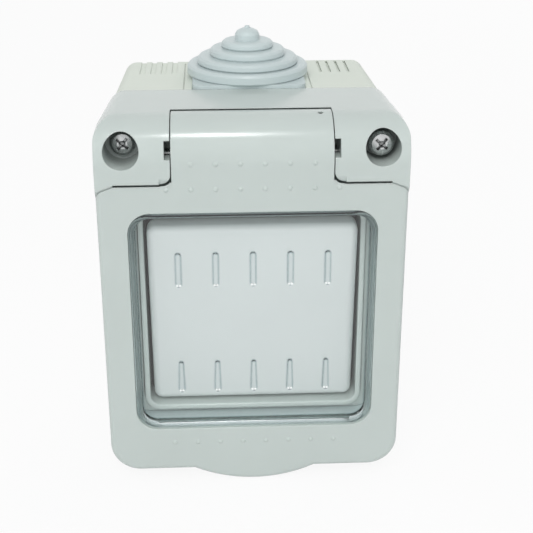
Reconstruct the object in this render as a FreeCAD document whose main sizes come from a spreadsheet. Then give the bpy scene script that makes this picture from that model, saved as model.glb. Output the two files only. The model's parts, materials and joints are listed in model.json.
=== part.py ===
import FreeCAD, Part
import math
import os
import Sketcher

Vector = FreeCAD.Vector

# Millimetres. Wall plane at y = 0, front towards -y, +z up, z = 0 at mid height of the box.
DIMENSIONS = [
    ("depth", 56.0, "wall to front face"),
    ("half_width", 33.0, "widest half width"),
    ("half_height", 41.5, "half height of the front frame"),
    ("box_depth", 28.5, "depth of the back box"),
    ("box_half_front", 30.8, "box half width at the front frame"),
    ("box_half_wall", 29.6, "box half width at the wall"),
    ("box_half_height", 41.1, "box half height"),
    ("skin", 2.2, "moulded wall thickness"),
    ("frame_half_rear", 31.6, "front frame half width at its rear edge"),
    ("frame_face", 47.0, "wall to the frame's face under the lid"),
    ("frame_plate", 3.2, "thickness of the frame's face"),
    ("hinge_z", 32.5, "height of the hinge axis"),
    ("barrel", 9.0, "outer radius of the hinge barrel"),
    ("lid_clearance", 10.0, "radius that the lid's shoulders keep from the hinge axis"),
    ("seam_z", 28.5, "underside of the screw blocks"),
    ("tongue_half", 17.0, "half width of the lid's tongue"),
    ("tongue_skin", 2.2, "wall thickness of the lid's tongue"),
    ("lid_depth", 8.7, "depth of the lid"),
    ("lid_plate", 2.4, "thickness of the lid's face"),
    ("lid_wall", 2.0, "thickness of the lid's sides"),
    ("window_half", 26.7, "half width of the window opening"),
    ("window_half_height", 26.3, "half height of the window opening"),
    ("rocker_z", -4.2, "height of the rocker's axis and of the window's middle"),
    ("rocker_depth", 41.0, "wall to the rocker's axis"),
    ("rocker_half", 23.0, "half width of the rocker"),
    ("rocker_half_height", 22.5, "half height of the rocker"),
    ("rocker_tilt", 6.0, "tilt of the rocker from its middle, degrees"),
    ("bezel_half", 25.0, "outer half width of the bezel"),
    ("bezel_bore", 23.8, "inner half width of the bezel"),
    ("fixing_x", 20.0, "mechanism screws, sideways from the middle"),
    ("fixing_z", 26.6, "mechanism screws, up and down from the rocker's axis"),
    ("screw_x", 27.3, "cover screws, sideways from the middle"),
    ("screw_top_z", 35.5, "height of the upper cover screws"),
    ("screw_low_z", -36.0, "height of the lower cover screws"),
    ("screw_seat_top", 47.6, "wall to the seat of the upper screws"),
    ("screw_standing_out", 2.9, "how far the upper right screw stands out of its seat"),
    ("screw_seat_low", 44.8, "wall to the seat of the lower screws"),
    ("counterbore", 3.75, "radius of the cover screws' counterbores"),
    ("gland_x", 0.25, "cable gland's axis, sideways from the middle"),
    ("gland_y", 15.2, "wall to the cable gland's axis"),
    ("gland_half", 12.9, "half width of the gland's square base"),
    ("bump_pitch", 5.2, "spacing of the raised bumps"),
    ("rib_pitch", 8.15, "spacing of the membrane's finger ribs"),
    ("flute_pitch", 2.22, "spacing of the flutes on the break-out panels"),
    ("wall_hole_x", 19.0, "wall-screw holes, sideways from the middle"),
    ("wall_hole_z", 26.0, "wall-screw holes, up and down from the middle"),
    ("wall_hole", 2.25, "radius of the wall-screw holes"),
    ("lever_depth", 32.65, "wall to the contact lever's axis"),
]


class Size:
    """A length as both its number and its spreadsheet expression, kept through arithmetic."""

    def __init__(self, number, text=None):
        self.number = float(number)
        self.text = repr(self.number) if text is None else text

    def __add__(self, other):
        other = size(other)
        return Size(self.number + other.number, f"({self.text} + {other.text})")

    def __sub__(self, other):
        other = size(other)
        return Size(self.number - other.number, f"({self.text} - {other.text})")

    def __mul__(self, other):
        other = size(other)
        return Size(self.number * other.number, f"{self.text} * {other.text}")

    def __neg__(self):
        return Size(-self.number, f"(0 - {self.text})")

    def __radd__(self, other):
        return size(other) + self

    def __rsub__(self, other):
        return size(other) - self

    def __rmul__(self, other):
        return size(other) * self


def size(value):
    return value if isinstance(value, Size) else Size(value)


class Sheet:
    pass


d = Sheet()
for alias, number, note in DIMENSIONS:
    setattr(d, alias, Size(number, "dims." + alias))
NODES = {}

# Terminal screws from the rocker's axis: sideways, up.
TERMINALS = [(0, 13.5), (0, -13.5), (11.5, 0)]


def new_sheet(doc):
    sheet = doc.addObject("Spreadsheet::Sheet", "dims")
    for row, (name, number, note) in enumerate(DIMENSIONS, start=1):
        sheet.set(f"A{row}", name)
        sheet.set(f"B{row}", str(number))
        sheet.set(f"C{row}", note)
        sheet.setAlias(f"B{row}", name)
    doc.recompute()


def bind(item, prop, value):
    """Bind a property to a size's expression."""
    item.setExpression(prop, size(value).text)


def origin_feature(body, role):
    return [f for f in body.Origin.OriginFeatures if f.Role == role][0]


def new_sketch(body, name, plane="XZ_Plane", offset=None):
    """Sketch on one of the body's own planes, moved along the plane's normal."""
    sketch = body.newObject("Sketcher::SketchObject", name)
    sketch.AttachmentSupport = [(origin_feature(body, plane), "")]
    sketch.MapMode = "FlatFace"
    if offset is not None:
        bind(sketch, ".AttachmentOffset.Base.z", offset)
    return sketch


def fix(sketch, kind, value, *target):
    """Add a driving constraint that follows a size."""
    index = sketch.addConstraint(Sketcher.Constraint(kind, *target, size(value).number))
    bind(sketch, f"Constraints[{index}]", value)


def pin_point(sketch, edge, end, x, y):
    fix(sketch, "DistanceX", x, -1, 1, edge, end)
    fix(sketch, "DistanceY", y, -1, 1, edge, end)


def toward(start, end, distance):
    step = end - start
    return start + step * (distance / step.Length)


def outline(sketch, corners):
    """Closed outline through corners (x, y) or (x, y, radius), each fixed by its sizes."""
    spots = [Vector(size(c[0]).number, size(c[1]).number, 0) for c in corners]
    radii = [c[2] if len(c) > 2 else None for c in corners]
    count = len(corners)
    ends = []
    for i, spot in enumerate(spots):
        before, after = spots[i - 1], spots[(i + 1) % count]
        if radii[i] is None:
            ends.append((spot, spot))
            continue
        opening = (before - spot).getAngle(after - spot)
        reach = size(radii[i]).number / math.tan(opening / 2)
        ends.append((toward(spot, before, reach), toward(spot, after, reach)))
    lines = []
    for i in range(count):
        start, end = ends[i][1], ends[(i + 1) % count][0]
        lines.append(sketch.addGeometry(Part.LineSegment(start, end), False))
    for i, corner in enumerate(corners):
        arriving, leaving = lines[i - 1], lines[i]
        if radii[i] is None:
            sketch.addConstraint(Sketcher.Constraint("Coincident", arriving, 2, leaving, 1))
            pin_point(sketch, leaving, 1, corner[0], corner[1])
            continue
        point = sketch.addGeometry(Part.Point(spots[i]), True)
        pin_point(sketch, point, 1, corner[0], corner[1])
        sketch.addConstraint(Sketcher.Constraint("PointOnObject", point, 1, arriving))
        sketch.addConstraint(Sketcher.Constraint("PointOnObject", point, 1, leaving))
        round_corner(sketch, arriving, leaving, ends[i], spots[i], radii[i])


def round_corner(sketch, arriving, leaving, ends, spot, radius):
    middle = (ends[0] + ends[1]) * 0.5
    reach = (ends[0] - spot).Length
    number = size(radius).number
    centre_gap = math.hypot(reach, number)
    centre = toward(spot, middle, centre_gap)
    top = toward(centre, spot, number)
    arc = sketch.addGeometry(Part.Arc(ends[0], top, ends[1]), False)
    flip = (ends[0] - centre).cross(ends[1] - centre).z < 0
    first, last = (2, 1) if flip else (1, 2)
    sketch.addConstraint(Sketcher.Constraint("Tangent", arriving, 2, arc, first))
    sketch.addConstraint(Sketcher.Constraint("Tangent", leaving, 1, arc, last))
    fix(sketch, "Radius", radius, arc)


def rectangle(sketch, x0, x1, y0, y1, radius=None):
    corners = [(x0, y0), (x1, y0), (x1, y1), (x0, y1)]
    if radius is not None:
        corners = [corner + (radius,) for corner in corners]
    outline(sketch, corners)


def square(sketch, half, middle, radius=None, half_height=None):
    """Rectangle centred sideways, with its middle at a given height."""
    tall = half if half_height is None else half_height
    rectangle(sketch, -size(half), half, middle - tall, middle + tall, radius)


def circle(sketch, x, y, radius):
    centre = Vector(size(x).number, size(y).number, 0)
    edge = sketch.addGeometry(Part.Circle(centre, Vector(0, 0, 1), size(radius).number), False)
    pin_point(sketch, edge, 3, x, y)
    fix(sketch, "Radius", radius, edge)


def pad(body, sketch, length, name="Pad", flip=False, both=False, cut=False):
    """Extrude a sketch; a cut must take something away."""
    before = body.Shape.Volume if cut else 0
    feature = body.newObject("PartDesign::Pocket" if cut else "PartDesign::Pad", name)
    feature.Profile = sketch
    bind(feature, "Length", length)
    feature.Reversed = flip
    if both:
        feature.SideType = "Symmetric"
    checked(body, feature)
    if cut and not body.Shape.Volume < before:
        raise RuntimeError(f"{body.Name}: {feature.Name} cuts nothing")
    return feature


def checked(body, feature):
    body.Document.recompute()
    if feature.Shape.isNull() or not feature.Shape.isValid() or "Invalid" in feature.State:
        raise RuntimeError(f"{body.Name}: {feature.Name} fails")
    return feature


def pocket(body, sketch, length, name="Pocket", flip=False, both=False):
    return pad(body, sketch, length, name, flip, both, cut=True)


def revolve(body, sketch, name="Turned", cut=False, axis="V_Axis", angle=360.0, flip=False):
    before = body.Shape.Volume if cut else 0
    feature = body.newObject("PartDesign::Groove" if cut else "PartDesign::Revolution", name)
    feature.Profile = sketch
    feature.ReferenceAxis = (sketch, [axis])
    feature.Angle = angle
    feature.Reversed = flip
    checked(body, feature)
    if cut and not body.Shape.Volume < before:
        raise RuntimeError(f"{body.Name}: {feature.Name} cuts nothing")
    return feature


def hinge_axis(sketch):
    """Construction line along the hinge axis in a sketch at the hinge's height."""
    depth = -d.frame_face.number
    line = Part.LineSegment(Vector(-9, depth, 0), Vector(9, depth, 0))
    axis = sketch.addGeometry(line, True)
    pin_point(sketch, axis, 1, -9, -d.frame_face)
    pin_point(sketch, axis, 2, 9, -d.frame_face)


def loft(body, sketches, name="Loft"):
    feature = body.newObject("PartDesign::AdditiveLoft", name)
    feature.Profile = sketches[0]
    feature.Sections = sketches[1:]
    feature.Ruled = True
    return checked(body, feature)


def fillet(body, radius, choose, name="Fillet", chamfer=False):
    """Round or bevel the edges of the body's tip that the choose function accepts."""
    tip = body.Tip
    names = [f"Edge{i}" for i, edge in enumerate(tip.Shape.Edges, start=1) if choose(edge)]
    if not names:
        raise RuntimeError(f"{body.Name}: {name} finds no edge")
    feature = body.newObject("PartDesign::Chamfer" if chamfer else "PartDesign::Fillet", name)
    feature.Base = (tip, names)
    bind(feature, "Size" if chamfer else "Radius", radius)
    return checked(body, feature)


def place(feature, spots):
    for axis, value in zip("xyz", spots):
        bind(feature, ".Placement.Base." + axis, value)
    feature.Document.recompute()
    return feature


def primitive(body, shape, name, cut):
    return body.newObject("PartDesign::" + ("Subtractive" if cut else "Additive") + shape, name)


def rod(body, name, axis, radius, length, spots, cut=False, sector=None):
    """Cylinder from its low x, its rear end in y or its low z; a sector along x runs from
    straight down towards the front."""
    feature = primitive(body, "Cylinder", name, cut)
    bind(feature, "Radius", radius)
    bind(feature, "Height", length)
    turns = {
        "x": FreeCAD.Rotation(Vector(0, 1, 0), 90),
        "y": FreeCAD.Rotation(Vector(1, 0, 0), 90),
        "z": FreeCAD.Rotation(),
    }
    turn = turns[axis]
    if sector is not None:
        feature.Angle = sector
        turn = turn * FreeCAD.Rotation(Vector(0, 0, 1), -sector)
    feature.Placement = FreeCAD.Placement(Vector(), turn)
    place(feature, spots)
    return checked(body, feature)


def ball(body, name, radius, spots, cut=False):
    feature = primitive(body, "Sphere", name, cut)
    bind(feature, "Radius", radius)
    place(feature, spots)
    return checked(body, feature)


def brick(body, name, corner, sizes, cut=False):
    """Box from its low corner."""
    feature = primitive(body, "Box", name, cut)
    for prop, value in zip(("Length", "Width", "Height"), sizes):
        bind(feature, prop, value)
    place(feature, corner)
    return checked(body, feature)


def row_x(body, features, pitch, count, name="Row"):
    """Repeat features along x."""
    feature = body.newObject("PartDesign::LinearPattern", name)
    feature.Originals = features
    feature.Direction = (origin_feature(body, "X_Axis"), [""])
    feature.Mode = "Spacing"
    bind(feature, "Offset", pitch)
    feature.Occurrences = count
    body.Tip = feature
    return checked(body, feature)


def new_body(doc, name, export=True):
    body = doc.addObject("PartDesign::Body", name)
    body.Label = name
    if export:
        NODES[name] = body
    return body


def middle(edge):
    box = edge.BoundBox
    return (box.XMin + box.XMax) / 2, (box.YMin + box.YMax) / 2, (box.ZMin + box.ZMax) / 2


def near(value, wanted, slack=0.1):
    return abs(value - size(wanted).number) < slack


def copies(doc, name, body, places, turn=None):
    """One node of several equal solids."""
    links = []
    for i, spots in enumerate(places):
        link = doc.addObject("App::Link", f"{name}_{i}")
        link.LinkedObject = body
        if turn is not None:
            link.Placement = FreeCAD.Placement(Vector(), turn)
        links.append(place(link, spots))
    group = doc.addObject("Part::Compound", name)
    group.Label = name
    group.Links = links
    NODES[name] = group


def sides(value):
    return (-size(value), size(value))


def back_box(doc):
    body = new_body(doc, "back_box")
    wall = new_sketch(body, "box_wall")
    square(wall, d.box_half_wall, size(0), 3, d.box_half_height)
    rim = new_sketch(body, "box_rim", offset=d.box_depth - 0.05)
    square(rim, d.box_half_front, size(0), 3, d.box_half_height)
    loft(body, [wall, rim])
    inner = new_sketch(body, "box_inside", offset=d.box_depth)
    side = d.box_half_wall - d.skin
    level = d.box_half_height - d.skin
    quarter = [(23.2, level), (23.2, 31.6), (side, 31.6)]
    right = quarter + [(x, -size(z)) for x, z in reversed(quarter)]
    outline(inner, right + [(-size(x), z) for x, z in reversed(right)])
    pocket(body, inner, d.box_depth - 2.5)
    slot = new_sketch(body, "gland_slot", "XY_Plane", d.box_half_height + 1)
    reach = d.gland_half + 0.1
    rectangle(slot, d.gland_x - reach, d.gland_x + reach, -d.box_depth - 1, -3.4)
    pocket(body, slot, d.skin + 2)
    crease = new_sketch(body, "entry_crease", "XY_Plane", d.box_half_height)
    for x in sides(14.6):
        rectangle(crease, x - 0.12, x + 0.12, -d.box_depth - 1, -2)
    pocket(body, crease, 0.2, "EntryCrease")
    seat = new_sketch(body, "gasket_seat", offset=d.box_depth)
    rectangle(seat, -29.5, 29.5, -39.8, 39.8, 1.6)
    rectangle(seat, -28.2, 28.2, -38.5, 38.5, 0.5)
    pocket(body, seat, 1.05)
    eyes = new_sketch(body, "gasket_eyes", offset=d.box_depth)
    corner_eyes(eyes, 24.3, 29.1, 32.4, 39.3)
    pocket(body, eyes, 1.05, "EyeSeats")
    bosses = new_sketch(body, "screw_bores", offset=d.box_depth)
    screw_circles(bosses, 1.8)
    pocket(body, bosses, 16)
    holes = new_sketch(body, "wall_holes", offset=3)
    for x in sides(d.wall_hole_x):
        for z in sides(d.wall_hole_z):
            circle(holes, x, z, d.wall_hole)
    pocket(body, holes, 4)
    narrow = new_sketch(body, "narrow_flutes", "XY_Plane", d.box_half_height)
    wide = new_sketch(body, "wide_flutes", "XY_Plane", d.box_half_height)
    for k in range(4):
        low = 17.7 + k * d.flute_pitch
        rectangle(narrow, low, low + 0.6, -11.8, -0.6)
        low = k * 1.15 * d.flute_pitch - 25.4
        rectangle(wide, low, low + 1.2, -11.8, 1)
    pocket(body, narrow, 0.5)
    pocket(body, wide, 0.28)
    blank = new_sketch(body, "lower_entry", "XY_Plane", -d.box_half_height)
    circle(blank, 0, -d.gland_y, 10.5)
    circle(blank, 0, -d.gland_y, 9.9)
    pocket(body, blank, 1.2, flip=True)


def cable_gland(doc):
    body = new_body(doc, "cable_gland")
    front = 1.1 - d.box_depth
    foot = new_sketch(body, "foot", "XY_Plane", d.box_half_height)
    rectangle(foot, d.gland_x - d.gland_half, d.gland_x + d.gland_half, front, -3.5)
    pad(body, foot, d.skin + 0.5, flip=True)
    raised = new_sketch(body, "raised_base", "XY_Plane", d.box_half_height - 0.4)
    rectangle(raised, d.gland_x - d.gland_half, d.gland_x + d.gland_half, 0.2 - d.box_depth, -3.5, 2)
    pad(body, raised, 1.6)
    lip = new_sketch(body, "inner_lip", "XY_Plane", d.box_half_height - d.skin - 0.1)
    reach = d.gland_half + 1.3
    rectangle(lip, d.gland_x - reach, d.gland_x + reach, front, -2.7)
    pad(body, lip, 1.3, flip=True)
    cone = new_sketch(body, "steps", "XZ_Plane", d.gland_y)
    steps = [
        (0, -0.5), (11.2, -0.5), (11.2, 1.0), (13.75, 1.05), (14.15, 1.45), (14.1, 2.9), (13.7, 3.4),
        (13.0, 3.55), (11.45, 3.4), (11.75, 3.8), (11.65, 4.7), (11.2, 5.15), (10.4, 5.3), (8.6, 5.3),
        (8.85, 5.7), (8.75, 6.5), (8.3, 6.95), (7.5, 7.1), (5.8, 7.1), (6.05, 7.45), (5.95, 8.2),
        (5.5, 8.65), (4.8, 8.85), (2.9, 8.85), (2.85, 10.1), (2.4, 10.85), (1.3, 11.4), (0.7, 11.5),
        (0.5, 12.0), (0, 12.1),
    ]
    gland_profile(body, cone, steps)
    hollow = new_sketch(body, "hollow", "XZ_Plane", d.gland_y)
    inside = [
        (0, -6), (9.8, -6), (9.8, 1.2), (12, 1.8), (11.8, 2.4), (10.2, 2.5), (9.9, 4.1), (7.4, 4.2),
        (7.1, 5.9), (4.8, 6.0), (4.5, 7.7), (1.6, 7.8), (1.4, 9.7), (0, 10.2),
    ]
    gland_profile(body, hollow, inside, "Hollow", cut=True)


def gland_profile(body, sketch, spots, name="Turned", cut=False):
    """Turn a profile (radius, height above the box) about the gland's axis."""
    outline(sketch, [(x, d.box_half_height + z) for x, z in spots])
    bind(sketch, ".AttachmentOffset.Base.x", d.gland_x)
    revolve(body, sketch, name, cut)


def box_gasket(doc):
    front = d.box_depth - 0.05
    body = ring(doc, "box_gasket", 29.4, -39.7, 39.7, 1.1, front, 0.9, 1.5)
    eyes = new_sketch(body, "screw_eyes", offset=front)
    corner_eyes(eyes, 24.5, 28.9, 32.6, 39.1)
    pad(body, eyes, 0.9, "Eyes", flip=True)
    holes = new_sketch(body, "eye_holes", offset=front)
    screw_circles(holes, 1.85)
    pocket(body, holes, 0.9)


def screw_circles(sketch, radius):
    """One circle about each cover screw."""
    for x in sides(d.screw_x):
        for z in (d.screw_top_z, d.screw_low_z):
            circle(sketch, x, z, radius)


def corner_eyes(sketch, x0, x1, z0, z1):
    """One rounded block about each cover screw, for the gasket's eyes."""
    for side in (1, -1):
        for level in (1, -1):
            spots = [(side * x0, level * z0), (side * x1, level * z0), (side * x1, level * z1),
                     (side * x0, level * z1)]
            outline(sketch, [spot + (0.8,) for spot in spots])


def ring(doc, name, half, low, high, width, front, thickness, corner):
    """Rectangular seal or frame with rounded corners, in front of a given depth."""
    body = new_body(doc, name)
    section = new_sketch(body, name + "_outline", offset=front)
    half, low, high = size(half), size(low), size(high)
    rectangle(section, -half, half, low, high, corner)
    rectangle(section, width - half, half - width, low + width, high - width, max(corner - width, 0.3))
    pad(body, section, thickness, flip=True)
    return body


def front_frame(doc):
    body = new_body(doc, "front_frame")
    rear = new_sketch(body, "frame_rear", offset=d.box_depth)
    square(rear, d.frame_half_rear, size(0), 4, d.half_height)
    face = new_sketch(body, "frame_front", offset=d.frame_face)
    square(face, d.half_width, size(0), 4, d.half_height)
    loft(body, [rear, face])
    blocks = new_sketch(body, "blocks", offset=d.frame_face)
    inner = d.tongue_half + 0.2
    for side in (1, -1):
        outline(blocks, [
            (side * inner, d.seam_z, 2.2), (side * d.half_width, d.seam_z),
            (side * d.half_width, d.half_height, 4), (side * inner, d.half_height),
        ])
    pad(body, blocks, d.depth - d.frame_face, "Blocks")
    curve = new_sketch(body, "barrel_cut", "YZ_Plane")
    top, low = d.half_height, d.hinge_z - 1
    outline(curve, [
        (1 - d.frame_face, top + 1), (-d.depth - 1, top + 1), (-d.depth - 1, low), (-d.depth, low),
        (-d.depth, top, d.barrel), (1 - d.frame_face, top),
    ])
    pocket(body, curve, 2 * d.half_width + 2, "Barrel", both=True)
    cavity = new_sketch(body, "frame_inside", offset=d.frame_face - d.frame_plate)
    square(cavity, d.frame_half_rear - d.skin, size(0), 2, d.half_height - d.skin)
    pocket(body, cavity, d.frame_face)
    hinge = (-d.frame_face, d.hinge_z)
    wall = (-d.tongue_half - 2.4, -d.frame_face, d.hinge_z - 8)
    brick(body, "TroughWall", wall, (2 * d.tongue_half + 4.8, 11.4, d.half_height - d.hinge_z + 7))
    for side in (1, -1):
        ear = new_sketch(body, "ear_section", "XY_Plane", d.hinge_z)
        outline(ear, [
            (side * 29.3, -d.frame_face), (side * d.half_width, -d.frame_face),
            (side * d.half_width, -d.frame_face - 10.5), (side * 29.3, -d.frame_face - 9.85),
        ])
        hinge_axis(ear)
        revolve(body, ear, "Ear", axis="Axis0", angle=90.0)
    trim = (-d.half_width - 1, -d.depth - 3, d.seam_z - 3)
    brick(body, "EarTrim", trim, (2 * d.half_width + 2, 3, 10), cut=True)
    length = d.frame_face - d.frame_plate - d.box_depth + 0.5
    for x in sides(d.screw_x):
        for level in (d.screw_top_z, d.screw_low_z):
            rod(body, "Tower", "y", 4.2, length, (x, -d.box_depth, level))
    spots = (-d.tongue_half - 0.2,) + hinge
    rod(body, "Trough", "x", d.barrel + 0.25, 2 * d.tongue_half + 0.4, spots, cut=True)
    floor = (-d.tongue_half - 0.2, -d.frame_face, d.hinge_z - 8)
    brick(body, "TroughFloor", floor, (2 * d.tongue_half + 0.4, 10, 2))
    opening = new_sketch(body, "opening", offset=d.frame_face + 1)
    square(opening, d.bezel_half + 0.3, d.rocker_z, 3.6)
    pocket(body, opening, d.frame_plate + 2)
    groove = new_sketch(body, "seal_groove", offset=d.frame_face)
    rectangle(groove, -28.3, 28.3, -31.7, 23.3, 4.1)
    rectangle(groove, -27.1, 27.1, -30.5, 22.1, 2.9)
    pocket(body, groove, 0.8)
    for name, level, seat in (
        ("top", d.screw_top_z, d.screw_seat_top),
        ("low", d.screw_low_z, d.screw_seat_low),
    ):
        bore = new_sketch(body, "counterbores_" + name, offset=d.depth + 1)
        hole = new_sketch(body, "screw_holes_" + name, offset=d.depth + 1)
        for x in sides(d.screw_x):
            circle(bore, x, level, d.counterbore)
            circle(hole, x, level, 2)
        pocket(body, bore, d.depth + 1 - seat)
        pocket(body, hole, d.depth)
    relief = new_sketch(body, "corner_relief", "XY_Plane", d.hinge_z)
    for side in (1, -1):
        rectangle(relief, side * inner, side * (inner + 2.4), -d.depth - 1.5, -d.depth - 0.4)
    hinge_axis(relief)
    revolve(body, relief, "CornerRelief", cut=True, axis="Axis0", angle=32.0)
    for x in (d.tongue_half + 0.1, -d.tongue_half - 1.4):
        brick(body, "Notch", (x, -d.depth - 1, d.hinge_z + 1.3), (1.3, 5, 3.7), cut=True)
        brick(body, "NotchWell", (x, 3.9 - d.depth, d.hinge_z - 1.6), (1.3, 6, 6.6), cut=True)
    rod(body, "PinBore", "x", 1.25, 42, (-21,) + hinge, cut=True)
    pilots = new_sketch(body, "pilots", offset=d.frame_face - d.frame_plate)
    for x in sides(d.fixing_x):
        for z in sides(d.fixing_z):
            circle(pilots, x, d.rocker_z + z, 1.15)
    pocket(body, pilots, 2.1, flip=True)


def cover_screws(doc):
    screw = new_body(doc, "cover_screw", export=False)
    half = new_sketch(screw, "screw_profile", "XY_Plane")
    outline(half, [(0, 0), (2.75, 0), (2.85, -0.3), (2.7, -1.1), (2.1, -1.75), (1.1, -2.05), (0, -2.1)])
    revolve(screw, half, "Head")
    shank = new_sketch(screw, "shank_profile", "XY_Plane")
    outline(shank, [(0, -0.5), (1.7, -0.5), (1.7, 28.5), (0.8, 30), (0, 30)])
    revolve(screw, shank, "Shank")
    for turn in (40, 130):
        slot = primitive(screw, "Box", "Cross", True)
        slot.Length, slot.Width, slot.Height = 3.2, 1.3, 0.62
        rotation = FreeCAD.Rotation(Vector(0, 1, 0), turn)
        corner = rotation.multVec(Vector(-1.6, 0, -0.31)) + Vector(0, -2.4, 0)
        slot.Placement = FreeCAD.Placement(corner, rotation)
        checked(screw, slot)
    core = new_sketch(screw, "recess_core", "XY_Plane")
    outline(core, [(0, -2.4), (0.75, -2.4), (0.55, -0.7), (0, -0.5)])
    revolve(screw, core, "RecessCore", cut=True)
    raised = d.screw_seat_top + d.screw_standing_out
    places = [
        (-d.screw_x, -d.screw_seat_top - 0.02, d.screw_top_z), (d.screw_x, -raised, d.screw_top_z),
        (-d.screw_x, -d.screw_seat_low - 0.02, d.screw_low_z),
        (d.screw_x, -d.screw_seat_low - 0.02, d.screw_low_z),
    ]
    copies(doc, "cover_screws", screw, places)


def hinge_pin(doc):
    body = new_body(doc, "hinge_pin")
    rod(body, "Pin", "x", 1.25, 41.6, (-20.8, -d.frame_face, d.hinge_z))
    fillet(body, 0.3, lambda edge: near(abs(middle(edge)[0]), 20.8), chamfer=True)


def lid(doc):
    body = new_body(doc, "lid")
    back = d.depth - d.lid_depth
    face = new_sketch(body, "lid_outline", offset=back)
    top = d.seam_z - 0.36
    outline(face, [
        (-d.half_width, -d.half_height, 6.8), (d.half_width, -d.half_height, 6.8),
        (d.half_width, top), (-d.half_width, top),
    ])
    pad(body, face, d.lid_depth, "Cover")
    tab = new_sketch(body, "thumb_tab", offset=back + 1.5)
    low = 0.3 - d.half_height
    outline(tab, [(-14.5, low), (0, low - 6.7, 32.4), (14.5, low)])
    pad(body, tab, d.lid_depth - 1.5, "ThumbTab")
    cavity = new_sketch(body, "lid_inside", offset=d.depth - d.lid_plate)
    inside = d.half_width - d.lid_wall
    low = d.lid_wall - d.half_height
    outline(cavity, [(-inside, low, 4.8), (inside, low, 4.8), (inside, top + 1), (-inside, top + 1)])
    pocket(body, cavity, d.lid_depth)
    rib = new_sketch(body, "window_rib", offset=d.depth - d.lid_plate - 2.5)
    outline(rib, [
        (-30.4, 20), (-30.4, -33.2), (30.4, -33.2), (30.4, 20), (29.3, 20), (29.3, -32.1), (-29.3, -32.1),
        (-29.3, 20),
    ])
    pad(body, rib, 2.6, "WindowRib")
    for x in (d.tongue_half, -d.half_width - 1):
        spots = (x, -d.frame_face, d.hinge_z)
        rod(body, "ShoulderCut", "x", d.lid_clearance, d.half_width + 1 - d.tongue_half, spots, cut=True)
    for side in (1, -1):
        dip = new_sketch(body, "seam_dip", "XY_Plane", d.hinge_z)
        edge = d.frame_face + d.lid_clearance
        outline(dip, [
            (side * 29.3, 0.2 - edge), (side * (d.half_width + 1), 0.2 - edge),
            (side * (d.half_width + 1), -edge - 0.87), (side * 29.3, -edge - 0.02),
        ])
        hinge_axis(dip)
        revolve(body, dip, "SeamDip", cut=True, axis="Axis0", angle=110.0)
    corner = new_sketch(body, "tongue_corners", offset=d.depth - d.tongue_skin)
    edge = d.tongue_half
    for side in (1, -1):
        outline(corner, [
            (side * (edge - 1), top - 1), (side * (edge + 2.4), top - 1), (side * (edge + 2.4), top),
            (side * edge, top, 2), (side * edge, top + 2.4), (side * (edge - 1), top + 2.4),
        ])
    pad(body, corner, d.tongue_skin, "TongueCorners")
    for x in (d.tongue_half, -d.half_width - 1):
        spots = (x, -d.frame_face, d.hinge_z)
        rod(body, "CornerCut", "x", d.barrel + 0.65, d.half_width + 1 - d.tongue_half, spots, cut=True)
    tongue = new_sketch(body, "tongue_face", offset=d.depth - d.tongue_skin)
    rectangle(tongue, -edge, edge, top - 2, d.hinge_z + 0.1)
    pad(body, tongue, d.tongue_skin, "TongueFace")
    curl = new_sketch(body, "barrel_section", "XY_Plane", d.hinge_z)
    rectangle(curl, -edge, edge, -d.depth, d.tongue_skin - d.depth)
    hinge_axis(curl)
    revolve(body, curl, "Barrel", axis="Axis0", angle=106.0, flip=True)
    for x in (-16.2, -1.5, 13.2):
        brick(body, "LugWeb", (x, 1 - d.depth, d.hinge_z - 2.2), (3, d.depth - d.frame_face - 1, 4.4))
        rod(body, "Lug", "x", 3.2, 3, (x, -d.frame_face, d.hinge_z))
    rod(body, "LugBore", "x", 1.3, 2 * edge + 1, (-edge - 0.5, -d.frame_face, d.hinge_z), cut=True)
    window = new_sketch(body, "window_opening", offset=d.depth + 1)
    square(window, d.window_half, d.rocker_z, 4.8, d.window_half_height)
    pocket(body, window, d.lid_plate + 1.5)
    rod(body, "GateMark", "z", 0.6, 5, (14.6, -d.frame_face - 1.24, d.hinge_z + 6), cut=True)
    fillet(body, 1.2, lambda edge: near(middle(edge)[1], -d.depth, 0.02) and middle(edge)[2] < 26
           and not (abs(middle(edge)[0]) < 27 and -31 < middle(edge)[2] < 23), "FrontEdges")
    for level, count in ((d.hinge_z + 0.3, 6), (d.seam_z - 1.15, 8), (7.4 - d.half_height, 8)):
        first = -0.5 * (count - 1) * d.bump_pitch
        bump = ball(body, "Bump", 0.75, (first, 0.5 - d.depth, level))
        row_x(body, [bump], d.bump_pitch, count)
    for x in (d.tongue_half, -d.half_width - 1):
        spots = (x, -d.frame_face, d.hinge_z)
        rod(body, "BumpTrim", "x", d.barrel + 0.65, d.half_width + 1 - d.tongue_half, spots, cut=True)


def lid_window(doc):
    body = new_body(doc, "lid_window")
    back = d.depth - 3.55
    sheet = new_sketch(body, "membrane", offset=back)
    rectangle(sheet, -29.2, 29.2, -31.9, 23.5, 5)
    pad(body, sheet, 1.1, "Membrane")
    rim = new_sketch(body, "rim", offset=back + 1)
    square(rim, d.window_half - 0.1, d.rocker_z, 4.7, d.window_half_height - 0.1)
    square(rim, d.window_half - 1.4, d.rocker_z, 3.4, d.window_half_height - 1.4)
    pad(body, rim, 2.2, "Rim")
    front = -(back + 3.2)
    fillet(body, 0.6, lambda edge: near(middle(edge)[1], front, 0.02), "RimEdges")
    ribs = new_sketch(body, "finger_ribs", offset=back + 1)
    for column in range(-2, 3):
        x = column * d.rib_pitch
        rectangle(ribs, x - 0.6, x + 0.6, d.rocker_z + 8.3, d.rocker_z + 16.2, 0.55)
        low = d.rocker_z - 17.8
        outline(ribs, [
            (x - 0.7, low, 0.6), (x + 0.7, low, 0.6), (x + 0.45, low + 7.6, 0.38),
            (x - 0.45, low + 7.6, 0.38),
        ])
    pad(body, ribs, 0.75, "FingerRibs")


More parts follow.
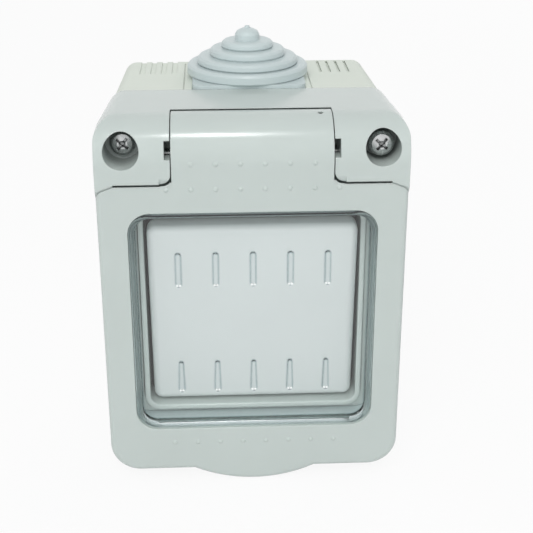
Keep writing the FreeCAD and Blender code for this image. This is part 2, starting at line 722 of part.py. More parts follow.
def window_retainer(doc):
    body = new_body(doc, "window_retainer")
    section = new_sketch(body, "retainer_outline", offset=d.depth - 4.9)
    rectangle(section, -29.2, 29.2, -31.9, 23.2, 5)
    rectangle(section, -26.9, 26.9, -30.6, 22.25, 4.6)
    pad(body, section, 1.3)


def rocker(doc):
    body = new_body(doc, "rocker")
    plate = new_sketch(body, "rocker_plate", offset=4)
    square(plate, d.rocker_half, size(0), 2, d.rocker_half_height)
    pad(body, plate, 4.7, "Plate")
    fillet(body, 1.7, lambda edge: near(middle(edge)[1], -8.7, 0.02), "FrontEdges")
    under = new_sketch(body, "rocker_inside", offset=6.9)
    square(under, d.rocker_half - 1.5, size(0), 0.8, d.rocker_half_height - 1.5)
    pocket(body, under, 4)
    for side, x in ((1, 15.9), (-1, -18.3)):
        brick(body, "Cheek", (x, -7.2, -3), (2.4, 7.2, 6))
        rod(body, "CheekEnd", "x", 3, 2.4, (x, 0, 0))
        rod(body, "Peg", "x", 1.8, 2.7, (18.1 if side > 0 else -20.8, 0, 0))
    rod(body, "Post", "y", 2.7, 9.5, (0, 2.5, 0))
    rod(body, "PostBore", "y", 1.75, 9.4, (0, 2.6, 0), cut=True)
    on_rocker(body)


def on_rocker(body):
    """Tilt a body that was drawn about the rocker's axis to the rocker's rest position."""
    body.Placement = FreeCAD.Placement(Vector(), FreeCAD.Rotation(Vector(1, 0, 0), 6))
    bind(body, ".Placement.Base.y", -d.rocker_depth)
    bind(body, ".Placement.Base.z", d.rocker_z)
    bind(body, ".Placement.Rotation.Angle", d.rocker_tilt)


def detent_plunger(doc):
    body = new_body(doc, "detent_plunger")
    rod(body, "Stem", "y", 1.7, 6.05, (0, 5.55, 0))
    ball(body, "Tip", 1.7, (0, 5.55, 0))
    on_rocker(body)


def detent_spring(doc):
    body = new_body(doc, "detent_spring")
    wire = new_sketch(body, "spring_wire", "XY_Plane")
    circle(wire, 1.2, -6.5, 0.22)
    coil = body.newObject("PartDesign::AdditiveHelix", "Coil")
    coil.Profile = wire
    coil.ReferenceAxis = (wire, ["V_Axis"])
    coil.Mode = 0
    coil.Pitch = 1.15
    coil.Height = 5.7
    checked(body, coil)
    on_rocker(body)


def fixing_plate(sketch, half, bevel):
    """Plate outline with bevelled corners around the rocker's axis."""
    z = d.rocker_z
    quarter = [(half, bevel), (bevel, half)]
    corners = []
    for sx, sz in ((1, 1), (-1, 1), (-1, -1), (1, -1)):
        turn = quarter if sx * sz > 0 else quarter[::-1]
        corners += [(sx * x, z + sz * y) for x, y in turn]
    outline(sketch, corners)


def fixing_holes(body, name, offset, radius, length):
    holes = new_sketch(body, name, offset=offset)
    for x in sides(d.fixing_x):
        for z in sides(d.fixing_z):
            circle(holes, x, d.rocker_z + z, radius)
    pocket(body, holes, length)


def switch_surround(doc):
    body = new_body(doc, "switch_surround")
    back = d.frame_face - d.frame_plate - 1.65
    plate = new_sketch(body, "surround_plate", offset=back)
    fixing_plate(plate, 28.4, 23.4)
    pad(body, plate, 1.6, "Plate")
    rim = new_sketch(body, "bezel", offset=back)
    square(rim, d.bezel_half, d.rocker_z, 3.4)
    pad(body, rim, d.frame_face + 2 - back, "Bezel")
    bore = new_sketch(body, "bezel_bore", offset=d.depth)
    square(bore, d.bezel_bore, d.rocker_z, 2.4)
    pocket(body, bore, d.depth)
    fixing_holes(body, "surround_holes", d.frame_face - 1, 1.2, 8)
    front = -(d.frame_face + 2)
    fillet(body, 0.35, lambda edge: near(middle(edge)[1], front, 0.02), "BezelEdges")


def mechanism_housing(doc):
    body = new_body(doc, "mechanism_housing")
    front = d.frame_face - d.frame_plate - 1.7
    flange = new_sketch(body, "housing_flange", offset=front - 1.4)
    fixing_plate(flange, 28.4, 23.4)
    pad(body, flange, 1.4, "Flange")
    shell = new_sketch(body, "housing_shell", offset=22)
    square(shell, size(21), d.rocker_z, 1, size(19))
    pad(body, shell, front - 22, "Shell")
    for x in (18.6, -21):
        brick(body, "Ear", (x, -front - 2.1, d.rocker_z - 3.6), (2.4, 3, 7.2))
    inside = new_sketch(body, "housing_inside", offset=d.depth)
    square(inside, size(18.6), d.rocker_z, None, size(17.2))
    pocket(body, inside, d.depth - 23.6)
    for x in (18, -21.5):
        rod(body, "PegBore", "x", 1.86, 3.5, (x, -d.rocker_depth, d.rocker_z), cut=True)
    for z in (16.5, -19.7):
        rod(body, "WireEntry", "z", 1.9, 3.2, (0, 6.2 - d.lever_depth, d.rocker_z + z), cut=True)
    rod(body, "SideEntry", "x", 1.9, 3.2, (18.3, 6.8 - d.lever_depth, d.rocker_z), cut=True)
    floor = new_sketch(body, "terminal_holes", offset=25)
    for x, z in TERMINALS:
        circle(floor, x, d.rocker_z + z, 1.5)
    pocket(body, floor, 4)
    fixing_holes(body, "housing_holes", front + 1, 1.2, 4)


def mechanism_screws(doc):
    screw = new_body(doc, "mechanism_screw", export=False)
    half = new_sketch(screw, "mechanism_screw_profile", "XY_Plane")
    outline(half, [(0, -5), (0.7, -5), (1.05, -4.5), (1.05, 0), (1.9, 0), (1.9, 0.7), (1.2, 1.4), (0, 1.4)])
    revolve(screw, half)
    brick(screw, "Slot", (-2, 0.9, -0.25), (4, 1, 0.5), cut=True)
    seat = d.frame_face - d.frame_plate - 3.15
    places = [(x, -seat, d.rocker_z + z) for x in sides(d.fixing_x) for z in sides(d.fixing_z)]
    copies(doc, "mechanism_screws", screw, places)


def contact_lever(doc):
    body = new_body(doc, "contact_lever")
    brick(body, "Blade", (-3, -1, -9), (6, 1, 18))
    rod(body, "Trunnions", "x", 0.6, 9.2, (-4.6, 0, 0))
    for z in (7.5, -7.5):
        rod(body, "RivetHole", "y", 0.8, 3, (0, 1, z), cut=True)
    body.Placement = FreeCAD.Placement(Vector(), FreeCAD.Rotation(Vector(-1, 0, 0), 6))
    at_lever(body)
    bind(body, ".Placement.Rotation.Angle", d.rocker_tilt)


def at_lever(body):
    bind(body, ".Placement.Base.y", -d.lever_depth)
    bind(body, ".Placement.Base.z", d.rocker_z)


def moving_contacts(doc):
    rivet = new_body(doc, "moving_contact", export=False)
    rod(rivet, "Button", "y", 1.6, 0.8, (0, 0.8, 0))
    rod(rivet, "Stem", "y", 0.75, 1.5, (0, 0.3, 0))
    rod(rivet, "Head", "y", 1.2, 0.35, (0, -1, 0))
    tilt = math.radians(d.rocker_tilt.number)
    places = [
        (0, 7.5 * side * math.sin(tilt) - d.lever_depth, d.rocker_z + 7.5 * side * math.cos(tilt))
        for side in (1, -1)
    ]
    copies(doc, "moving_contacts", rivet, places, FreeCAD.Rotation(Vector(1, 0, 0), -d.rocker_tilt.number))


def fixed_contacts(doc):
    rivet = new_body(doc, "fixed_contact", export=False)
    rod(rivet, "Button", "y", 1.6, 0.9, (0, 2.75, 0))
    rod(rivet, "Stem", "y", 0.75, 1, (0, 3.5, 0))
    places = [(0, -d.lever_depth, d.rocker_z + z) for z in (7.5, -7.5)]
    copies(doc, "fixed_contacts", rivet, places)


def common_terminal(doc):
    body = new_body(doc, "common_terminal")
    brick(body, "Bridge", (-4.2, 4.05, -3), (18.7, 0.8, 6))
    for x in (3.4, -4.2):
        brick(body, "Bearing", (x, -1.6, -2), (0.8, 6, 4))
    rod(body, "BearingBore", "x", 0.66, 10, (-5, 0, 0), cut=True)
    brick(body, "WireBlock", (8.5, 4.5, -3.5), (6, 4.25, 7))
    rod(body, "WireHole", "x", 1.5, 5, (10, 6.8, 0), cut=True)
    rod(body, "ScrewHole", "y", 1.3, 3, (11.5, 9, 0), cut=True)
    at_lever(body)


def line_terminal(doc, name, side):
    body = new_body(doc, name)
    low = 5.2 if side > 0 else -13
    brick(body, "Strip", (-3.4, 2.75, low), (6.8, 0.8, 7.8))
    brick(body, "WireBlock", (-3.5, 3.3, 10.5 if side > 0 else -16.5), (7, 5.45, 6))
    rod(body, "RivetHole", "y", 0.8, 2, (0, 4, 7.5 * side), cut=True)
    rod(body, "WireHole", "z", 1.5, 5, (0, 6.2, 12 if side > 0 else -17), cut=True)
    rod(body, "ScrewHole", "y", 1.3, 3, (0, 9, 13.5 * side), cut=True)
    at_lever(body)


def terminal_screws(doc):
    screw = new_body(doc, "terminal_screw", export=False)
    half = new_sketch(screw, "terminal_screw_profile", "XY_Plane")
    outline(half, [(0, -3.6), (1.25, -3.6), (1.25, 0), (2.3, 0), (2.3, 1.1), (1.9, 1.4), (0, 1.4)])
    revolve(screw, half)
    brick(screw, "Slot", (-2.5, 0.8, -0.3), (5, 1, 0.6), cut=True)
    places = [(x, -21.95, d.rocker_z + z) for x, z in TERMINALS]
    copies(doc, "terminal_screws", screw, places)


def check_document(doc):
    doc.recompute()
    for item in doc.Objects:
        if "Invalid" in item.State or "Error" in item.State:
            raise RuntimeError(f"{item.Name} is {item.State}")
    for name, item in NODES.items():
        if item.Shape.isNull() or not item.Shape.isValid():
            raise RuntimeError(f"{name} has no valid shape")


def main():
    doc = FreeCAD.newDocument("switch")
    new_sheet(doc)
    back_box(doc)
    cable_gland(doc)
    box_gasket(doc)
    front_frame(doc)
    cover_screws(doc)
    hinge_pin(doc)
    lid(doc)
    lid_window(doc)
    window_retainer(doc)
    ring(doc, "lid_gasket", 28.2, -31.6, 23.2, 1.0, d.depth - 4.95, 4.8, 4)
    rocker(doc)
    switch_surround(doc)
    mechanism_housing(doc)
    mechanism_screws(doc)
    detent_spring(doc)
    detent_plunger(doc)
    contact_lever(doc)
    moving_contacts(doc)
    common_terminal(doc)
    line_terminal(doc, "line_terminal_upper", 1)
    line_terminal(doc, "line_terminal_lower", -1)
    fixed_contacts(doc)
    terminal_screws(doc)
    check_document(doc)
    os.makedirs("parts", exist_ok=True)
    for name, item in NODES.items():
        shape = item.Shape
        box = shape.optimalBoundingBox(False)
        print(name, shape.isValid(), len(shape.Solids), round(shape.Volume, 1),
              [round(v, 2) for v in (box.XMin, box.XMax, box.YMin, box.YMax, box.ZMin, box.ZMax)])
        shape.exportStep(f"parts/{name}.step")


main()
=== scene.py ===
"""Looks of an outdoor weatherproof rocker switch: materials, light, floor and camera."""
import json
import math

import bpy
from mathutils import Matrix, Vector


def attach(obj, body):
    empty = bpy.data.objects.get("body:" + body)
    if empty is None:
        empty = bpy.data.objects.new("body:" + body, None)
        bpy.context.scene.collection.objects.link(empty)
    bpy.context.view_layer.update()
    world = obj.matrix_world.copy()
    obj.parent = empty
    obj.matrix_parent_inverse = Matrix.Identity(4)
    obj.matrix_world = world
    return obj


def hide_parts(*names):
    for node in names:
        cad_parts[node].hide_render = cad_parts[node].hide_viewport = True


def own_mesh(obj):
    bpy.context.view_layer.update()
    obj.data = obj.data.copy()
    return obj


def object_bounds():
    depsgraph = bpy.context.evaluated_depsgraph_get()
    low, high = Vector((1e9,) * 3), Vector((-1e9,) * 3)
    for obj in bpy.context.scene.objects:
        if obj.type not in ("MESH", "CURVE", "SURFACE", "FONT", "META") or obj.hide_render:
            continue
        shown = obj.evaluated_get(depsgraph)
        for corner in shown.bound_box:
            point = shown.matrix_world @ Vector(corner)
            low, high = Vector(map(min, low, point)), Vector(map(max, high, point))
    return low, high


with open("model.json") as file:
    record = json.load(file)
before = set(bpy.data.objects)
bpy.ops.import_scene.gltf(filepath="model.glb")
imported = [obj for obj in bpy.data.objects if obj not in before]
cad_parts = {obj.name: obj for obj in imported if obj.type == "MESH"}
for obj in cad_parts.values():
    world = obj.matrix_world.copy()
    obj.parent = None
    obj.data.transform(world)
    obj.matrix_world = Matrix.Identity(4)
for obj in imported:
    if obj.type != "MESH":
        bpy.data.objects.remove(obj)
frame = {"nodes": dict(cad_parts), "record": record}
cad_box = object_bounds()

MM = 0.001

# Colours as they look in plain light, in sRGB.
BOX_WHITE = (0.893, 0.918, 0.880)
COVER_GREY = (0.785, 0.822, 0.808)
GLAND_GREY = (0.790, 0.838, 0.840)
ROCKER_WHITE = (0.868, 0.890, 0.886)
SEAL_GREY = (0.30, 0.32, 0.33)
HOUSING_BLACK = (0.17, 0.17, 0.18)
NYLON = (0.90, 0.89, 0.84)
ZINC = (0.80, 0.81, 0.81)
STEEL = (0.66, 0.66, 0.67)
COPPER = (0.83, 0.56, 0.42)
BRASS = (0.83, 0.72, 0.42)
SILVER = (0.90, 0.90, 0.88)
CLEAR = (0.99, 0.995, 0.995)
# Colour of the painted shade along the clear membrane's edges.
CLEAR_EDGE_SHADE = (0.58, 0.65, 0.68)
CLEAR_RIM = (0.87, 0.91, 0.925)

# Where the lid was filled in its mould, the radius of the painted shade in the pit there, and the width
# of its soft edge.
GATE_MARK = (14.6 * MM, -48.24 * MM, 40.6 * MM)
GATE_SHADE_RADIUS = 0.75 * MM
GATE_SHADE_FADE = 0.2 * MM

# The clear membrane: its raised rim from where it starts to its front, how much rougher the rim is
# than the sheet, and the rounding of all edges.
RIM_START = -53.6 * MM
RIM_FRONT = -55.2 * MM
RIM_HAZE = 0.16
MEMBRANE_ROUNDING = 0.3 * MM

# Its finger ribs: spacing, half length of the row, depth of their backs and fronts, and the pairs of
# painted highlight spots at their lower ends.
RIB_PITCH = 8.15 * MM
RIB_ROW = 19.0 * MM
RIB_BACK = -53.7 * MM
RIB_FRONT = -53.9 * MM
RIB_ENDS = (4.55 * MM, -21.5 * MM)
SPOT_OFFSET = 0.33 * MM
SPOT_RADIUS = 0.22 * MM
SPOT_FADE = 0.14 * MM
# White of the painted highlight spots at the rib ends.
GLINT_WHITE = (0.95, 0.97, 0.97, 1.0)

# The photograph's camera: picture width and focal length in pixels, film width in millimetres, where
# it stood, and how far it was turned to the side, tipped down and rolled, in radians.
PHOTO_WIDTH = 533
FOCAL_LENGTH = 1148.75
SENSOR_WIDTH = 36.0
CAMERA_PLACE = Vector((-7.97, -282.82, 108.23)) * MM
CAMERA_TURN = 0.04745
CAMERA_DIP = 0.40994
CAMERA_ROLL = 0.0008

# The studio: half width of the floor, its gap below the object, the light of the surroundings, and
# the point that the broad lamps aim at.
FLOOR_HALF = 6.0
FLOOR_GAP = 0.05 * MM
WORLD_STRENGTH = 0.5
MIDDLE = (0.0, -0.05, 0.0)

WHITE = (1.0, 1.0, 1.0, 1.0)
BLACK = (0.0, 0.0, 0.0, 1.0)

# The span that most values of a noise lie in.
SPREAD = (0.3, 0.7)


def linear(colour):
    """Scene-linear colour of an sRGB colour."""
    steps = [c / 12.92 if c <= 0.04045 else ((c + 0.055) / 1.055) ** 2.4 for c in colour]
    return (*steps, 1.0)


def scaled(colour, factor, lift=0.0):
    """A linear colour made darker or paler."""
    return tuple(min(1.0, c * factor + lift) for c in colour[:3]) + (1.0,)


class Finish:
    """A material with short ways to add nodes and join them."""

    def __init__(self, name, **sockets):
        self.material = bpy.data.materials.new(name)
        self.material.use_nodes = True
        self.tree = self.material.node_tree
        self.tree.nodes.clear()
        self.output = self.tree.nodes.new("ShaderNodeOutputMaterial")
        self.shader = self.tree.nodes.new("ShaderNodeBsdfPrincipled")
        self.show(self.shader.outputs["BSDF"])
        for socket, value in sockets.items():
            self.shader.inputs[socket.replace("_", " ")].default_value = value
        self.place = self.tree.nodes.new("ShaderNodeTexCoord").outputs["Object"]

    def fill(self, socket, value):
        """Join another socket to this one, or set its value."""
        if isinstance(value, bpy.types.NodeSocket):
            self.tree.links.new(value, socket)
        else:
            socket.default_value = value

    def set(self, socket, source):
        """Feed a socket of the main shader."""
        self.fill(self.shader.inputs[socket], source)

    def show(self, shader):
        """Use a shader as the surface."""
        self.fill(self.output.inputs["Surface"], shader)

    def add(self, kind, inputs=None, **settings):
        """New node with its inputs filled, by name or number."""
        node = self.tree.nodes.new("ShaderNode" + kind)
        for name, value in settings.items():
            setattr(node, name, value)
        for name, value in (inputs or {}).items():
            self.fill(node.inputs[name], value)
        return node

    def calc(self, operation, *values):
        """Result of a sum, product or other operation."""
        return self.add("Math", dict(enumerate(values)), operation=operation).outputs["Value"]

    def noise(self, size, detail=2.0, roughness=0.5, stretch=None):
        """Noise whose features are about size metres across."""
        place = self.place
        if stretch is not None:
            place = self.add("Mapping", {"Vector": place, "Scale": stretch}).outputs["Vector"]
        inputs = {"Vector": place, "Scale": 1 / size, "Detail": detail, "Roughness": roughness}
        return self.add("TexNoise", inputs).outputs["Fac"]

    def between(self, value, low, high, first=0.0, last=1.0):
        """Map a value from one range to another."""
        inputs = {"Value": value, "From Min": low, "From Max": high, "To Min": first, "To Max": last}
        return self.add("MapRange", inputs).outputs["Result"]

    def mix(self, factor, first, second):
        """Blend two colours."""
        return self.add("Mix", {0: factor, 6: first, 7: second}, data_type="RGBA").outputs[2]

    def blend(self, factor, first, second):
        """Blend two shaders."""
        return self.add("MixShader", {0: factor, 1: first, 2: second}).outputs["Shader"]

    def shade(self, colour, factor):
        """Multiply a colour by a factor."""
        return self.mix(factor, BLACK, colour)

    def bump(self, height, depth, under=None):
        """Relief of a given depth in metres, laid on another relief."""
        inputs = {"Height": height, "Distance": depth, "Strength": 1.0}
        if under is not None:
            inputs["Normal"] = under
        return self.add("Bump", inputs).outputs["Normal"]

    def soft_edges(self, radius):
        """Surface direction with the edges rounded."""
        return self.add("Bevel", {"Radius": radius}, samples=6).outputs["Normal"]

    def edge_mask(self, radius, flat=0.98, sharp=0.80):
        """0 on flat faces, rising to 1 on edges."""
        geometry = self.add("NewGeometry").outputs["Normal"]
        dot = self.add("VectorMath", {0: self.soft_edges(radius), 1: geometry}, operation="DOT_PRODUCT")
        return self.between(dot.outputs["Value"], flat, sharp)

    def depth(self, reach, low, high, darkest):
        """Painted shade: 1 on open surfaces, falling to darkest in holes and gaps that are deep for
        their width.
        """
        node = self.add("AmbientOcclusion", {"Distance": reach}, samples=8, only_local=True)
        return self.between(node.outputs["AO"], low, high, darkest)

    def near(self, point, inside, outside, darkest):
        """darkest within a distance of a point, rising to 1 outside."""
        gap = self.add("VectorMath", {0: self.place, 1: point}, operation="DISTANCE")
        return self.between(gap.outputs["Value"], inside, outside, darkest)


def moulded(
    name, colour, roughness, grain, grain_depth, darkest=0.16, edge=0.25 * MM, gate=None, **sockets
):
    """Moulded plastic with a surface grain, faint flow shades, paler edges, and painted shade in deep
    places and in a gate mark's pit.
    """
    flow_size, smear_size, pale_edge_radius, gap_reach = 16 * MM, 5 * MM, 0.25 * MM, 10 * MM
    finish = Finish(name, **sockets)
    base = linear(colour)
    flow = finish.between(finish.noise(flow_size, detail=3.0), *SPREAD)
    tone = finish.mix(flow, scaled(base, 0.975), base)
    # Edges a little paler.
    tone = finish.mix(finish.edge_mask(pale_edge_radius), tone, scaled(base, 1.04))
    # Painted shade in holes and gaps that are deep for their width.
    light = finish.depth(gap_reach, low=0.10, high=0.34, darkest=darkest)
    if gate is not None:
        # Painted shade in the small pit of the gate mark.
        pit_shade = finish.near(gate, GATE_SHADE_RADIUS, GATE_SHADE_RADIUS + GATE_SHADE_FADE, darkest=0.08)
        light = finish.calc("MINIMUM", light, pit_shade)
    finish.set("Base Color", finish.shade(tone, light))
    smears = finish.noise(smear_size, detail=3.0)
    finish.set("Roughness", finish.between(smears, *SPREAD, roughness - 0.02, roughness + 0.03))
    grains = finish.noise(grain, roughness=0.6)
    finish.set("Normal", finish.bump(grains, grain_depth, finish.soft_edges(edge)))
    return finish.material


def rubber(name, colour, roughness):
    """Soft satin rubber with a bloom and fine pores."""
    bloom_size, pore_size, pore_depth, edge = 3 * MM, 0.25 * MM, 0.008 * MM, 0.2 * MM
    finish = Finish(name, Specular_IOR_Level=0.35)
    bloom = finish.between(finish.noise(bloom_size, detail=4.0, roughness=0.6), 0.35, 0.7)
    base = linear(colour)
    finish.set("Base Color", finish.mix(bloom, base, scaled(base, 1.12, 0.01)))
    finish.set("Roughness", finish.between(bloom, 0.0, 1.0, roughness, roughness + 0.12))
    finish.set("Normal", finish.bump(finish.noise(pore_size), pore_depth, finish.soft_edges(edge)))
    return finish.material


def metal(name, colour, roughness, stretch=(1.0, 1.0, 1.0)):
    """Metal with drawn or plated texture, light staining and painted shade in its recesses."""
    line_size, line_depth, spot_size = 0.15 * MM, 0.004 * MM, 1.6 * MM
    edge, gap_reach = 0.08 * MM, 1.5 * MM
    finish = Finish(name, Metallic=1.0)
    lines = finish.noise(line_size, detail=3.0, roughness=0.7, stretch=stretch)
    spots = finish.between(finish.noise(spot_size, detail=4.0, roughness=0.6), 0.45, 0.75)
    base = linear(colour)
    tone = finish.mix(spots, base, scaled(base, 0.76))
    # Painted shade in recesses, such as a screw's cross recess.
    recess_shade = finish.depth(gap_reach, low=0.2, high=0.6, darkest=0.12)
    finish.set("Base Color", finish.shade(tone, recess_shade))
    finish.set("Roughness", finish.between(lines, 0.2, 0.8, roughness - 0.07, roughness + 0.1))
    finish.set("Normal", finish.bump(lines, line_depth, finish.soft_edges(edge)))
    return finish.material


def clear_membrane(name):
    """Clear soft plastic that lets light and shadow through, greyer where it is thick, with painted
    shade along its edges and painted highlight spots at its rib ends.
    """
    edge, haze_size, wave_size, wave_depth = 0.6 * MM, 7 * MM, 9 * MM, 0.03 * MM
    finish = Finish(name, Transmission_Weight=1.0, IOR=1.46)
    depth = finish.add("SeparateXYZ", {"Vector": finish.place}).outputs["Y"]
    thick = finish.between(depth, RIM_START, RIM_FRONT)
    spots = finish.noise(haze_size, detail=4.0, roughness=0.6)
    haze = finish.between(spots, 0.35, 0.75, first=0.015, last=0.07)
    finish.set("Roughness", finish.calc("MULTIPLY_ADD", thick, RIM_HAZE, haze))
    body = finish.mix(thick, linear(CLEAR), linear(CLEAR_RIM))
    # Painted shade along the edges, where steep walls would show darker surroundings.
    edge_shade = finish.edge_mask(edge, flat=0.995, sharp=0.90)
    finish.set("Base Color", finish.mix(edge_shade, body, linear(CLEAR_EDGE_SHADE)))
    finish.set("Normal", finish.bump(finish.noise(wave_size), wave_depth))
    # Painted highlights: white spots at the lower ends of the ribs.
    glints = finish.add("BsdfDiffuse", {"Color": GLINT_WHITE}).outputs["BSDF"]
    with_glints = finish.blend(rib_end_glints(finish), finish.shader.outputs["BSDF"], glints)
    open_way = finish.add("BsdfTransparent", {"Color": linear(CLEAR)}).outputs["BSDF"]
    path = finish.add("LightPath").outputs
    through = finish.calc("MAXIMUM", path["Is Shadow Ray"], path["Is Diffuse Ray"])
    finish.show(finish.blend(through, with_glints, open_way))
    return finish.material


def rib_end_glints(finish):
    """1 in two small spots at the lower end of each finger rib, where a highlight is painted."""
    calc = finish.calc
    place = finish.add("SeparateXYZ", {"Vector": finish.place}).outputs
    # Whole steps added keep the count of ribs positive on both sides of the middle.
    ribs = calc("ADD", calc("DIVIDE", place["X"], RIB_PITCH), 10.5)
    across = calc("ABSOLUTE", calc("MULTIPLY", calc("SUBTRACT", calc("FRACT", ribs), 0.5), RIB_PITCH))
    sideways = calc("SUBTRACT", across, SPOT_OFFSET)
    upward = calc("MINIMUM", *(calc("ABSOLUTE", calc("SUBTRACT", place["Z"], end)) for end in RIB_ENDS))
    offset = finish.add("CombineXYZ", {"X": sideways, "Y": 0.0, "Z": upward}).outputs["Vector"]
    distance = finish.add("VectorMath", {0: offset}, operation="LENGTH").outputs["Value"]
    spot = finish.between(distance, SPOT_RADIUS, SPOT_RADIUS + SPOT_FADE, 1.0, 0.0)
    raised = finish.between(place["Y"], RIB_BACK, RIB_FRONT)
    in_row = finish.between(calc("ABSOLUTE", place["X"]), RIB_ROW, RIB_ROW + 1.0 * MM, 1.0, 0.0)
    return calc("MULTIPLY", calc("MULTIPLY", spot, raised), in_row)


# The maker of each material slot's finish, and what it is given: colour, roughness and, where it is
# moulded, the size and depth of its grain.
FINISHES = {
    "box_plastic": (moulded, (BOX_WHITE, 0.62, 0.35 * MM, 0.03 * MM), {"Specular_IOR_Level": 0.3}),
    "cover_plastic": (moulded, (COVER_GREY, 0.17, 1.6 * MM, 0.003 * MM), {
        "darkest": 0.42, "edge": 0.3 * MM, "gate": GATE_MARK,
        "Subsurface_Weight": 0.25, "Subsurface_Scale": 1.5 * MM, "Subsurface_Radius": (1.0, 1.0, 1.0),
    }),
    "gland_plastic": (moulded, (GLAND_GREY, 0.34, 0.5 * MM, 0.008 * MM), {"darkest": 0.6}),
    "rocker_plastic": (moulded, (ROCKER_WHITE, 0.3, 1.8 * MM, 0.005 * MM), {}),
    "housing_plastic": (moulded, (HOUSING_BLACK, 0.5, 0.4 * MM, 0.01 * MM), {}),
    "plunger_plastic": (moulded, (NYLON, 0.35, 0.5 * MM, 0.004 * MM), {}),
    "seal_rubber": (rubber, (SEAL_GREY, 0.55), {}),
    "clear_plastic": (clear_membrane, (), {}),
    "zinc_steel": (metal, (ZINC, 0.26), {}),
    "spring_steel": (metal, (STEEL, 0.22), {}),
    "copper_alloy": (metal, (COPPER, 0.28), {"stretch": (6.0, 1.0, 1.0)}),
    "terminal_brass": (metal, (BRASS, 0.3), {"stretch": (1.0, 1.0, 5.0)}),
    "silver_contact": (metal, (SILVER, 0.2), {}),
}


def dress_nodes():
    """Give each node the finish of its material slot."""
    finishes = {slot: make(slot, *values, **more) for slot, (make, values, more) in FINISHES.items()}
    for entry in frame["record"]["subparts"]:
        for mesh_slot in frame["nodes"][entry["node"]].material_slots:
            mesh_slot.material = finishes[entry["material_slot"]]


def round_edges(node, width):
    """Give a clear piece real rounded edges, which bend what lies behind them."""
    weld = node.modifiers.new("joined", "WELD")
    weld.merge_threshold = 0.002 * MM
    bevel = node.modifiers.new("rounded", "BEVEL")
    bevel.width = width
    bevel.segments = 4
    bevel.limit_method = "ANGLE"
    bevel.angle_limit = math.radians(50)
    bevel.use_clamp_overlap = True


def replace_spring():
    """Coil, a copy of the rigid spring that moves with the rocker, in place of the rigid one."""
    rigid = frame["nodes"]["detent_spring"]
    coil = rigid.copy()
    coil.data = rigid.data.copy()
    coil.name = "detent_coil"
    bpy.context.scene.collection.objects.link(coil)
    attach(coil, "rocker")
    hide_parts("detent_spring")
    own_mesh(coil)


def background_ray(tree):
    """1 where the camera, a gloss or clear plastic looks at the surroundings, else 0."""
    path = tree.nodes.new("ShaderNodeLightPath")
    seen = path.outputs["Is Camera Ray"]
    for kind in ("Is Glossy Ray", "Is Transmission Ray"):
        either = tree.nodes.new("ShaderNodeMath")
        either.operation = "MAXIMUM"
        tree.links.new(seen, either.inputs[0])
        tree.links.new(path.outputs[kind], either.inputs[1])
        seen = either.outputs["Value"]
    return seen


def floor_finish():
    """Pale matt floor, near white where it is seen, that keeps the object's shadow."""
    lit_grey, seen_grey = (0.75, 0.75, 0.75, 1.0), (0.87, 0.87, 0.87, 1.0)
    finish = Finish("floor", Roughness=0.9, Specular_IOR_Level=0.1)
    seen = background_ray(finish.tree)
    finish.set("Base Color", finish.mix(seen, lit_grey, seen_grey))
    white = finish.add("Emission", {"Color": WHITE, "Strength": 1.0}).outputs["Emission"]
    share = finish.between(seen, 0.0, 1.0, 0.0, 0.9)
    finish.show(finish.blend(share, finish.shader.outputs["BSDF"], white))
    return finish.material


def add_floor(level):
    """Wide square floor at a height."""
    corners = [(x * FLOOR_HALF, y * FLOOR_HALF, level) for x, y in ((-1, -1), (1, -1), (1, 1), (-1, 1))]
    mesh = bpy.data.meshes.new("floor")
    mesh.from_pydata(corners, [], [(0, 1, 2, 3)])
    mesh.materials.append(floor_finish())
    sheet = bpy.data.objects.new("floor", mesh)
    bpy.context.scene.collection.objects.link(sheet)


def add_world(strength):
    """Even pale surroundings, white where the camera, mirrors or glass look straight at them."""
    world = bpy.data.worlds.new("studio")
    bpy.context.scene.world = world
    world.use_nodes = True
    tree = world.node_tree
    tree.nodes.clear()
    blend = tree.nodes.new("ShaderNodeMixShader")
    tree.links.new(background_ray(tree), blend.inputs["Fac"])
    for socket, colour, level in ((1, (0.97, 0.985, 1.0, 1.0), strength), (2, WHITE, 1.0)):
        light = tree.nodes.new("ShaderNodeBackground")
        light.inputs["Color"].default_value = colour
        light.inputs["Strength"].default_value = level
        tree.links.new(light.outputs["Background"], blend.inputs[socket])
    output = tree.nodes.new("ShaderNodeOutputWorld")
    tree.links.new(blend.outputs["Shader"], output.inputs["Surface"])


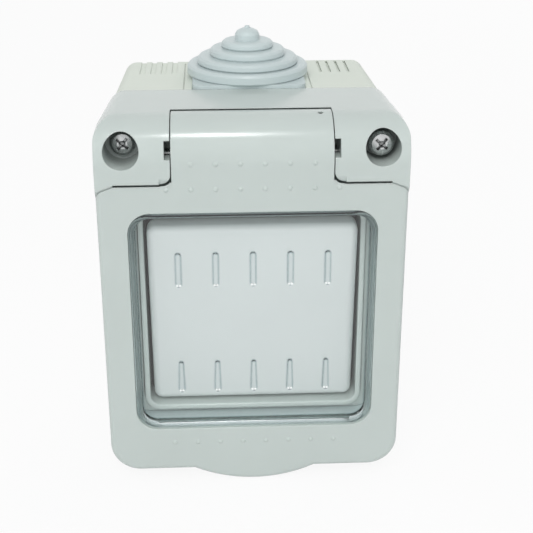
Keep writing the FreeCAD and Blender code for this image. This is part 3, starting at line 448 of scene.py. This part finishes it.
def add_lamp(name, place, target, size, power, colour, hidden):
    """Rectangular soft lamp aimed at a point, hidden from the given kinds of ray."""
    lamp = bpy.data.lights.new(name, "AREA")
    lamp.shape = "RECTANGLE"
    lamp.size, lamp.size_y = size
    lamp.energy = power
    lamp.color = colour
    holder = bpy.data.objects.new(name, lamp)
    bpy.context.scene.collection.objects.link(holder)
    holder.location = place
    aim = Vector(target) - Vector(place)
    holder.rotation_euler = aim.to_track_quat("-Z", "Y").to_euler()
    for kind in hidden:
        setattr(holder, "visible_" + kind, False)


def add_lamps():
    """Three broad lamps that light the surfaces, and a small one that shines on the gloss alone."""
    neutral, warm, cool = (1.0, 1.0, 1.0), (1.0, 0.99, 0.97), (0.98, 0.99, 1.0)
    surfaces, gloss = ("glossy", "transmission"), ("diffuse",)
    add_lamp("key", (-0.15, -0.72, 0.80), MIDDLE, (0.6, 0.45), 3.5, warm, surfaces)
    add_lamp("front", (-0.1, -1.0, 0.45), MIDDLE, (0.6, 0.5), 2.7, cool, surfaces)
    add_lamp("rear", (0.35, 0.9, 0.5), MIDDLE, (0.6, 0.5), 1.8, neutral, surfaces)
    barrel = (-0.004, -0.05, 0.035)
    add_lamp("glint", (-0.008, -0.25, 0.49), barrel, (0.034, 0.06), 0.36, neutral, gloss)


def add_camera():
    """Camera at the photograph's angle."""
    camera = bpy.data.cameras.new("camera")
    camera.sensor_width = SENSOR_WIDTH
    camera.lens = SENSOR_WIDTH * FOCAL_LENGTH / PHOTO_WIDTH
    camera.clip_start = 0.02
    holder = bpy.data.objects.new("camera", camera)
    bpy.context.scene.collection.objects.link(holder)
    turn, dip = CAMERA_TURN, CAMERA_DIP
    forward = Vector((math.sin(turn) * math.cos(dip), math.cos(turn) * math.cos(dip), -math.sin(dip)))
    right = Vector((math.cos(turn), -math.sin(turn), 0.0))
    level = Matrix((right, right.cross(forward), -forward)).transposed().to_4x4()
    roll = Matrix.Rotation(-CAMERA_ROLL, 4, "Z")
    holder.matrix_world = Matrix.Translation(CAMERA_PLACE) @ level @ roll
    bpy.context.scene.camera = holder


dress_nodes()
round_edges(frame["nodes"]["lid_window"], MEMBRANE_ROUNDING)
replace_spring()
add_floor(cad_box[0][2] - FLOOR_GAP)
add_world(WORLD_STRENGTH)
add_lamps()
add_camera()

bpy.context.scene.view_settings.view_transform = "Standard"
